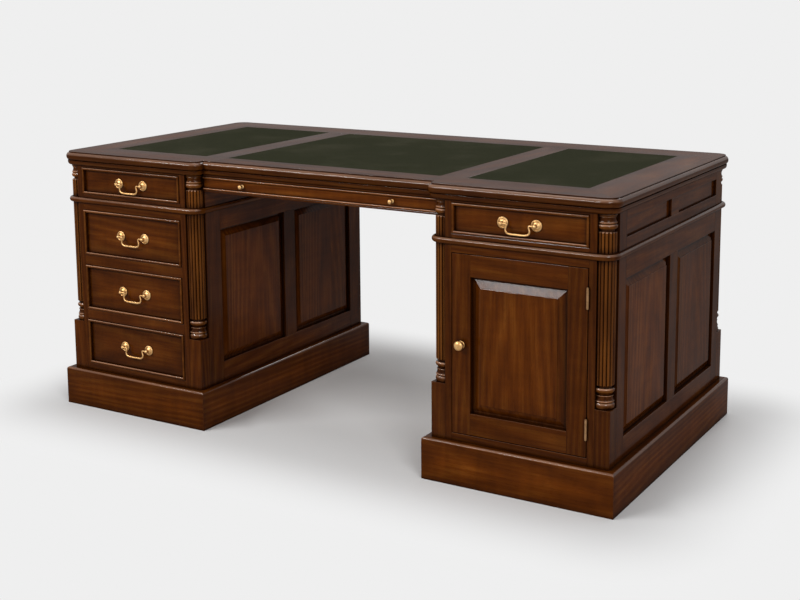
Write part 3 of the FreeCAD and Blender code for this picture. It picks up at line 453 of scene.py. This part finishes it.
def satinBrass(name, metal):
    finish = Finish(bpy.data.materials.new(name))
    place = finish.add("ShaderNodeTexCoord", None, None, "Object")
    cloud = finish.noise(place, patina["cloudScale"], detail=4.0, roughness=0.6)
    speck = finish.noise(place, patina["speckScale"], detail=2.0)
    spots = finish.noise(place, patina["tarnishScale"], roughness=0.55)
    tarnish = finish.fade(spots, *patina["tarnishPart"])
    # grime in the hollows, and painted contact shade where the brass meets the wood and around the eyes
    corner = finish.add("ShaderNodeAmbientOcclusion", {"samples": 6},
                        {"Distance": metal["cornerReach"]}, "AO")
    grimeAndShade = finish.fade(1 - corner, *patina["grimeAndShadePart"])
    colour = finish.mix(finish.fade(cloud, *patina["palePart"]), rgba(metal["colour"]), rgba(metal["pale"]))
    colour = finish.mix(tarnish * patina["tarnishShade"], colour, rgba(metal["dull"]))
    colour = finish.mix(grimeAndShade * patina["grimeShade"], colour, rgba(metal["grimeAndShade"]))
    stains = cloud * patina["cloudRoughness"] + tarnish * patina["tarnishRoughness"]
    return finish.surface({
        "Base Color": colour,
        "Roughness": stains + speck * patina["speckRoughness"] + metal["roughness"],
        "Metallic": 1.0,
        "Normal": finish.bump(speck, metal["relief"], patina["height"])})


finishes = {
    "mahogany": polishedWood("polished_mahogany", mahogany),
    "lining": polishedWood("drawer_lining", lining),
    "leather": greenLeather(),
    "brass": satinBrass("satin_brass", brass),
    "hingeBrass": satinBrass("dull_brass", hingeBrass),
}
print("finishes made:", ", ".join(finishes))


# Corner numbers of each triangle of a node, with corners at one spot sharing a number.
def trianglesOf(mesh):
    spots = {}
    number = [spots.setdefault(tuple(v.co), len(spots)) for v in mesh.vertices]
    triangles = []
    for polygon in mesh.polygons:
        corners = [number[v] for v in polygon.vertices]
        if len(set(corners)) == 3:
            triangles.append(corners)
    return [Vector(spot) for spot in spots], triangles


leastTurn = 1e-4    # radians between two faces at an edge


# A node's triangles sorted into its solids. Where two solids share an edge, a face goes with the next
# face round the edge on its own inner side.
def solidsOf(mesh):
    spots, triangles = trianglesOf(mesh)
    edges = {}
    for face, corners in enumerate(triangles):
        for k in range(3):
            a, b, c = corners[k], corners[k - 2], corners[k - 1]
            edges.setdefault((min(a, b), max(a, b)), []).append((face, a < b, c))
    leader = list(range(len(triangles)))

    def find(face):
        while leader[face] != face:
            leader[face] = leader[leader[face]]
            face = leader[face]
        return face

    for (a, b), users in edges.items():
        if len(users) == 2:
            leader[find(users[0][0])] = find(users[1][0])
            continue
        axis = (spots[b] - spots[a]).normalized()
        across = axis.orthogonal().normalized()
        upright = axis.cross(across)
        turn = {}
        for face, forward, c in users:
            arm = spots[c] - spots[a]
            turn[face] = math.atan2(arm.dot(upright), arm.dot(across))
        ahead = [face for face, forward, c in users if forward]
        others = [face for face, forward, c in users if not forward]
        if others:
            for face in ahead:
                partner = min(others, key=lambda o: (turn[face] - turn[o] - leastTurn) % math.tau)
                leader[find(face)] = find(partner)

    solids = {}
    for face, corners in enumerate(triangles):
        solids.setdefault(find(face), []).append([spots[c] for c in corners])
    return list(solids.values())


def closedShape(faces):
    bm = bmesh.new()
    for corners in faces:
        bm.faces.new([bm.verts.new(corner) for corner in corners])
    bmesh.ops.remove_doubles(bm, verts=bm.verts, dist=2 * weld)
    return bm


def boxOf(bm):
    low = Vector(min(v.co[k] for v in bm.verts) for k in range(3))
    high = Vector(max(v.co[k] for v in bm.verts) for k in range(3))
    return low, high


woodwork = {
    "flat": 0.4,            # degrees: faces this close to flat become one
    "sharp": 38.0,          # edges sharper than this are rubbed round
    "short": 1.6 * mm,      # but not the shortest ones
    "arris": 0.7 * mm,
    "steps": 2,
    "smooth": 20.0,         # flatter edges are shaded smooth
    "crest": 2.0 * mm,      # faces rounded more tightly than this are worn and get painted highlights
    "turnedCrest": 5.0 * mm,    # and on the columns
    "arrisRoundedness": 0.2,
    "leastArea": 1e-12,
    "cutAlong": (-4, 4),    # metres: where in the log a board was cut
    "cutAcross": (-0.10, 0.10),
    "cutDepth": (0.05, 0.14),
}


# Flat faces joined up, and the outer corners of a board rubbed down a little. The face layer "roundedness"
# is 1 on tightly rounded mouldings and less on plain corners.
def rubDown(bm, width, crest):
    bmesh.ops.dissolve_limit(bm, angle_limit=math.radians(woodwork["flat"]), use_dissolve_boundaries=False,
                             verts=bm.verts, edges=bm.edges, delimit=set())
    sharp = [e for e in bm.edges if e.is_manifold and e.is_convex and e.calc_length() > woodwork["short"]
             and e.calc_face_angle() > math.radians(woodwork["sharp"])]
    rubbed = bm.faces.layers.float.new("rubbed")
    for face in bm.faces:
        turn = sum(e.calc_face_angle_signed() * e.calc_length() for e in face.edges
                   if e.is_manifold and abs(e.calc_face_angle_signed()) < math.radians(woodwork["sharp"]))
        roundness = turn / max(2 * face.calc_area(), woodwork["leastArea"])
        face[rubbed] = min(max(roundness * crest, 0.0), 1.0)
    if sharp and width:
        made = bmesh.ops.bevel(bm, geom=sharp, offset=width, offset_type="OFFSET", affect="EDGES",
                               segments=woodwork["steps"], profile=0.5, material=-1, clamp_overlap=True)
        for face in made["faces"]:
            face[rubbed] = woodwork["arrisRoundedness"]


# Grain along the longest side of the board, or upright, or running round the edges of a moulding.
def layGrain(bm, run, lightness, lying, luck):
    low, high = boxOf(bm)
    middle = (low + high) / 2
    reach = (high - low) / 2
    start = Vector(luck.uniform(*woodwork[side]) for side in ("cutAlong", "cutAcross", "cutDepth"))
    tone = lightness * luck.uniform(*boardTones["spread"])
    spaceLayer = bm.loops.layers.float_vector.new("boardSpace")
    placeLayer = bm.loops.layers.float_vector.new("boardPlace")
    halfLayer = bm.loops.layers.float_vector.new("boardHalf")
    toneLayer = bm.loops.layers.float.new("boardTone")
    sides = sorted(range(3), key=lambda k: -reach[k])
    if run is None and sides[0] != 2:
        tone *= lying
    if run == "upright":
        sides = [2] + [k for k in sides if k != 2]
    for face in bm.faces:
        if run == "round":
            room = reach - Vector(abs(c) for c in face.calc_center_median() - middle)
            sides = [0, 2, 1] if room.y < room.x else [1, 2, 0]
        half = Vector(reach[k] for k in sides)
        for corner in face.loops:
            place = Vector(corner.vert.co[k] - middle[k] for k in sides)
            corner[spaceLayer] = place + start
            corner[placeLayer] = place
            corner[halfLayer] = half
            corner[toneLayer] = tone


def makePiece(name, bm, materials, body, replaced, smooth):
    mesh = bpy.data.meshes.new(name)
    bm.to_mesh(mesh)
    bm.free()
    for material in materials:
        mesh.materials.append(finishes[material])
    mesh.polygons.foreach_set("use_smooth", [True] * len(mesh.polygons))
    mesh.set_sharp_from_angle(angle=math.radians(smooth))
    piece = bpy.data.objects.new(name, mesh)
    scene.collection.objects.link(piece)
    # wide flat faces stay flat up to their corners
    even = piece.modifiers.new("evenShading", "WEIGHTED_NORMAL")
    even.keep_sharp = True
    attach(piece, body)
    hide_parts(*replaced)


# Shapes put together in one mesh, each with the number of its material.
def gather(shapes):
    whole = bmesh.new()
    for bm, number in shapes:
        for face in bm.faces:
            face.material_index = number
        part = bpy.data.meshes.new("part")
        bm.to_mesh(part)
        bm.free()
        whole.from_mesh(part)
        bpy.data.meshes.remove(part)
    return whole


grainRuns = {
    "side_panels": "upright",
    "front_door_panel": "upright",
    "rear_door_panel": "upright",
    "corner_columns": "upright",
    "frieze_columns": "upright",
    "waist_mouldings": "round",
}

boardTones = {              # lightness of a node's boards, and how far two boards may differ
    "spread": (0.90, 1.22),
    "lying": 1.18,          # rails and other boards that lie across catch more light
    "top_border": 0.60,
    "corner_columns": 0.74,
    "frieze_columns": 0.74,
    "front_door_panel": 1.12,
    "front_left_frieze_drawer": 1.12,
    # painted light: the centre drawer lies in shade, so its boards are painted lighter
    "front_centre_drawer": 1.60,
    "front_right_frieze_drawer": 1.15,
    "front_middle_drawer": 0.94,
    "front_lower_drawer": 0.86,
}

innerNodes = {"pedestal_boards", "drawer_runners", "top_ground"}
turnedNodes = {"corner_columns", "frieze_columns"}
brassWords = ("_pull", "_bail", "_knob", "_knobs", "_hinge_leaves")
leatherNodes = {"leather_centre_panel", "leather_side_panels"}
frontBoard = 30 * mm    # a drawer's front and its bead are no thicker than this


def onDrawerFace(bm, faceLevel):
    low, high = boxOf(bm)
    nearest = min(abs(abs(low.y) - faceLevel), abs(abs(high.y) - faceLevel))
    return high.y - low.y < frontBoard and nearest < frontBoard


def finishWood(name):
    luck = random.Random(name)
    isDrawer = name.endswith("_drawer")
    low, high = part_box(name)
    faceLevel = max(abs(low.y), abs(high.y))
    lying = 1.0 if isDrawer else boardTones["lying"]
    shapes = []
    for faces in solidsOf(nodes[name].data):
        bm = closedShape(faces)
        inside = name in innerNodes or (isDrawer and not onDrawerFace(bm, faceLevel))
        if name in turnedNodes:
            rubDown(bm, 0, woodwork["turnedCrest"])
        else:
            rubDown(bm, woodwork["arris"], woodwork["crest"])
        layGrain(bm, grainRuns.get(name), boardTones.get(name, 1.0), lying, luck)
        shapes.append((bm, 1 if inside else 0))
    makePiece(f"{name}_wood", gather(shapes), ["mahogany", "lining"], nodes[name]["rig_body"],
              [name], woodwork["smooth"])


for name in sorted(nodes):
    if name not in leatherNodes and not name.endswith(brassWords):
        finishWood(name)
print("woodwork finished")


leatherwork = {
    "edge": 0.8 * mm,
    "smooth": 20.0,         # degrees
}


for name in sorted(leatherNodes):
    shapes = []
    for faces in solidsOf(nodes[name].data):
        bm = closedShape(faces)
        rubDown(bm, leatherwork["edge"], woodwork["crest"])
        shapes.append((bm, 0))
    makePiece(f"{name}_hide", gather(shapes), ["leather"], nodes[name]["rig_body"], [name],
              leatherwork["smooth"])
print("leather laid")


brasswork = {
    "steps": 40,            # round a turned piece
    "smooth": 40.0,         # degrees
    "hingeSmooth": 30.0,
}


# A profile of radius and height, in millimetres, turned about the upright axis.
def turned(profile):
    bm = bmesh.new()
    spots = [bm.verts.new((radius * mm, 0, height * mm)) for radius, height in profile]
    lines = [bm.edges.new(pair) for pair in zip(spots, spots[1:])]
    bmesh.ops.spin(bm, geom=spots + lines, cent=(0, 0, 0), axis=(0, 0, 1), angle=math.tau,
                   steps=brasswork["steps"], use_merge=True)
    bmesh.ops.remove_doubles(bm, verts=bm.verts, dist=weld)
    bmesh.ops.recalc_face_normals(bm, faces=bm.faces)
    return bm


# Turns a shape's upright axis to the front or the rear and puts it at a spot.
def standOut(bm, spot, front):
    turn = Matrix.Rotation(math.radians(90 if front else -90), 4, "X")
    bmesh.ops.transform(bm, matrix=Matrix.Translation(spot) @ turn, verts=bm.verts)
    return bm


swanPull = {
    "spacing": 92,
    "stand": 13,            # drawer face to the pins
    "eye": 5.4,
    "eyeSteps": 16,         # from pole to pole
    "rosette": [            # radius, height
        (0, 0), (14.4, 0), (15.0, 0.5), (15.0, 1.5), (14.6, 2.2), (14.0, 2.6), (13.5, 2.7), (13.1, 3.2),
        (12.6, 3.7), (12.0, 3.9), (11.4, 3.7), (10.9, 3.2), (10.5, 2.7), (9.9, 2.6), (9.4, 2.9),
        (8.6, 3.6), (7.6, 4.3), (6.4, 4.9), (5.3, 5.4), (4.6, 6.0), (4.1, 6.9), (3.9, 8.2)],
    "bail": [               # from the middle of the pins: across, down, radius of the rod
        (51, 0, 2.3), (47, 0, 2.3), (42, 0, 2.2), (36, 0, 2.1), (30.6, 0.2, 1.95), (29.8, 4.0, 1.95),
        (31.4, 8.5, 2.05), (33.6, 14.5, 2.25), (30.6, 22.0, 2.5), (22.0, 24.8, 2.7), (12, 25, 2.85),
        (4, 25, 2.9)],
}


# A rosette with its post and the round eye that takes the bail.
def eyeProfile():
    profile = list(swanPull["rosette"])
    radius, stand, steps = swanPull["eye"], swanPull["stand"], swanPull["eyeSteps"]
    post = profile[-1][0]
    for k in range(steps + 1):
        lift = math.pi * k / steps
        if radius * math.sin(lift) > post or k > steps / 2:
            profile.append((radius * math.sin(lift), stand - radius * math.cos(lift)))
    profile[-1] = (0, stand + radius)
    return profile


def rosettes(name, front):
    low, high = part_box(name)
    face = high.y if front else low.y
    middle = (low + high) / 2
    shapes = []
    for side in (-1, 1):
        spot = Vector((middle.x + side * swanPull["spacing"] / 2 * mm, face, middle.z))
        shapes.append((standOut(turned(eyeProfile()), spot, front), 0))
    makePiece(f"{name}_rosettes", gather(shapes), ["brass"], nodes[name]["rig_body"], [name],
              brasswork["smooth"])


def bail(name, pullName, front):
    low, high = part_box(pullName)
    middle = (low + high) / 2
    stand = swanPull["stand"] * mm
    pinLevel = high.y - stand if front else low.y + stand
    half = swanPull["bail"]
    points = half + [(-across, down, radius) for across, down, radius in reversed(half)]
    curve = bpy.data.curves.new(f"{name}_path", "CURVE")
    curve.dimensions = "3D"
    curve.bevel_depth = mm
    curve.bevel_resolution = 5
    curve.use_fill_caps = True
    spline = curve.splines.new("NURBS")
    spline.points.add(len(points) - 1)
    for point, (across, down, radius) in zip(spline.points, points):
        point.co = (middle.x + across * mm, pinLevel, middle.z - down * mm, 1)
        point.radius = radius
    spline.order_u = 3
    spline.use_endpoint_u = True
    spline.resolution_u = 6
    rod = bpy.data.objects.new(f"{name}_rod", curve)
    mesh = bpy.data.meshes.new_from_object(rod)
    bm = bmesh.new()
    bm.from_mesh(mesh)
    bmesh.ops.remove_doubles(bm, verts=bm.verts, dist=weld)
    bmesh.ops.recalc_face_normals(bm, faces=bm.faces)
    bpy.data.objects.remove(rod)
    bpy.data.curves.remove(curve)
    bpy.data.meshes.remove(mesh)
    makePiece(f"{name}_handle", bm, ["brass"], nodes[name]["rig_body"], [name],
              brasswork["smooth"])


doorKnob = {
    "profile": [
        (0, 0), (9.9, 0), (10.5, 0.5), (10.5, 1.6), (9.8, 2.4), (8.6, 2.9), (7.2, 3.4), (6.3, 4.4),
        (5.9, 5.6), (6.0, 6.4), (7.4, 7.0), (9.6, 7.8), (11.6, 9.2), (12.9, 11.0), (13.5, 13.0),
        (13.3, 15.0), (12.5, 17.2), (10.8, 19.2), (8.4, 20.7), (5.6, 21.6), (2.8, 21.95), (0, 22)],
}

drawerKnob = {
    "place": 246,           # desk middle to a knob
    "profile": [
        (0, 0), (5.1, 0), (5.5, 0.4), (5.5, 1.0), (5.0, 1.5), (4.2, 1.9), (3.4, 2.6), (3.0, 3.6),
        (3.0, 4.6), (3.6, 5.4), (4.6, 6.2), (5.6, 7.4), (6.3, 9.0), (6.5, 10.8), (6.3, 12.5),
        (5.6, 14.3), (4.5, 15.6), (3.0, 16.5), (1.4, 16.9), (0, 17)],
}


def knobs(name, style, places, front):
    low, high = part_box(name)
    face = high.y if front else low.y
    level = (low.z + high.z) / 2
    shapes = [(standOut(turned(style["profile"]), Vector((x, face, level)), front), 0) for x in places]
    makePiece(f"{name}_turned", gather(shapes), ["brass"], nodes[name]["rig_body"], [name],
              brasswork["smooth"])


for name in sorted(nodes):
    front = name.startswith("front_")
    if name.endswith("_pull"):
        rosettes(name, front)
    elif name.endswith("_bail"):
        bail(name, name.replace("_bail", "_pull"), front)
    elif name.endswith("_knobs"):
        knobs(name, drawerKnob, [side * drawerKnob["place"] * mm for side in (-1, 1)], front)
    elif name.endswith("_knob"):
        low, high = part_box(name)
        knobs(name, doorKnob, [(low.x + high.x) / 2], front)
    elif name.endswith("_hinge_leaves"):
        shapes = []
        for faces in solidsOf(nodes[name].data):
            bm = closedShape(faces)
            rubDown(bm, 0, woodwork["crest"])
            shapes.append((bm, 0))
        makePiece(f"{name}_brass", gather(shapes), ["hingeBrass"], nodes[name]["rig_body"], [name],
                  brasswork["hingeSmooth"])
print("brass fitted")


studio = {
    "backdrop": (0.863, 0.863, 0.863),
    "floor": (0.74, 0.74, 0.74),
    "floorRadius": 30.0,
    "footprint": (0.9, 0.45, 0.0),      # half of the desk's size on the floor
    "floorFade": (0.0, 0.35),           # metres from there, over which the floor becomes the backdrop
    "sky": 0.16,                        # light from all round
    "lamps": [                          # name, place, aimed at, width, height, power
        ("key", (-2.17, -3.64, 3.05), (0.35, -0.45, 0.55), 3.0, 0.3, 138),
        ("fill", (3.6, -3.4, 3.0), (0.0, 0.0, 0.4), 1.6, 1.6, 90),
        ("over", (0.3, 0.2, 4.6), (0.3, 0.0, 0.0), 3.8, 2.6, 75),
        ("rear", (0.0, 4.2, 4.4), (0.0, 0.0, 0.4), 1.8, 1.8, 85)],
}


def lightPathShare(finish):
    camera = finish.add("ShaderNodeLightPath", None, None, "Is Camera Ray")
    glossy = finish.add("ShaderNodeLightPath", None, None, "Is Glossy Ray")
    through = finish.add("ShaderNodeLightPath", None, None, "Is Transmission Ray")
    return finish.add("ShaderNodeMath", {"operation": "MINIMUM"}, {0: camera + glossy + through, 1: 1.0})


def makeWorld():
    world = bpy.data.worlds.new("studio")
    scene.world = world
    finish = Finish(world)
    shown = finish.add("ShaderNodeBackground", None, {"Color": rgba(studio["backdrop"]), "Strength": 1.0})
    light = finish.add("ShaderNodeBackground", None, {"Color": (1, 1, 1, 1), "Strength": studio["sky"]})
    both = finish.add("ShaderNodeMixShader", None, {0: lightPathShare(finish), 1: light, 2: shown})
    finish.add("ShaderNodeOutputWorld", None, {"Surface": both})


def makeFloor():
    bm = bmesh.new()
    bmesh.ops.create_circle(bm, cap_ends=True, segments=96, radius=studio["floorRadius"])
    mesh = bpy.data.meshes.new("floor")
    bm.to_mesh(mesh)
    bm.free()
    finish = Finish(bpy.data.materials.new("pale_floor"))
    place = finish.add("ShaderNodeTexCoord", None, None, "Object")
    outside = finish.add("ShaderNodeVectorMath", {"operation": "ABSOLUTE"}, {0: place})
    outside = finish.add("ShaderNodeVectorMath", {"operation": "SUBTRACT"},
                         {0: outside, 1: studio["footprint"]})
    outside = finish.add("ShaderNodeVectorMath", {"operation": "MAXIMUM"}, {0: outside, 1: (0, 0, 0)})
    distance = finish.add("ShaderNodeVectorMath", {"operation": "LENGTH"}, {0: outside}, "Value")
    far = finish.fade(distance, *studio["floorFade"])
    near = finish.add("ShaderNodeBsdfDiffuse", None, {"Color": rgba(studio["floor"])})
    beyond = finish.add("ShaderNodeEmission", None, {"Color": rgba(studio["backdrop"]), "Strength": 1.0})
    both = finish.add("ShaderNodeMixShader", None, {0: far * lightPathShare(finish), 1: near, 2: beyond})
    finish.add("ShaderNodeOutputMaterial", None, {"Surface": both})
    mesh.materials.append(finish.owner)
    floor = bpy.data.objects.new("floor", mesh)
    scene.collection.objects.link(floor)


def makeLamps():
    for name, place, target, width, height, power in studio["lamps"]:
        lamp = bpy.data.lights.new(name, "AREA")
        lamp.shape = "RECTANGLE"
        lamp.size = width
        lamp.size_y = height
        lamp.energy = power
        holder = bpy.data.objects.new(name, lamp)
        holder.location = place
        holder.rotation_euler = (Vector(target) - Vector(place)).to_track_quat("-Z", "Y").to_euler()
        holder.visible_camera = False
        scene.collection.objects.link(holder)


makeWorld()
makeFloor()
makeLamps()


viewpoint = {
    "place": (2.0437, -3.3435, 1.3240),
    "yaw": 30.993,          # degrees
    "pitch": 9.018,
    "roll": -0.416,
    "sensor": 36.0,         # millimetres
    "lens": 60.21,
    "shift": -0.15,
    "farthest": 200.0,
}


def makeCamera():
    camera = bpy.data.cameras.new("camera")
    camera.sensor_width = viewpoint["sensor"]
    camera.lens = viewpoint["lens"]
    camera.shift_y = viewpoint["shift"]
    camera.clip_end = viewpoint["farthest"]
    holder = bpy.data.objects.new("camera", camera)
    turn = (Matrix.Rotation(math.radians(viewpoint["yaw"]), 4, "Z")
            @ Matrix.Rotation(math.radians(90 - viewpoint["pitch"]), 4, "X")
            @ Matrix.Rotation(math.radians(viewpoint["roll"]), 4, "Z"))
    holder.matrix_world = Matrix.Translation(viewpoint["place"]) @ turn
    scene.collection.objects.link(holder)
    scene.camera = holder


makeCamera()
scene.view_settings.view_transform = "Standard"
print("studio and camera set")
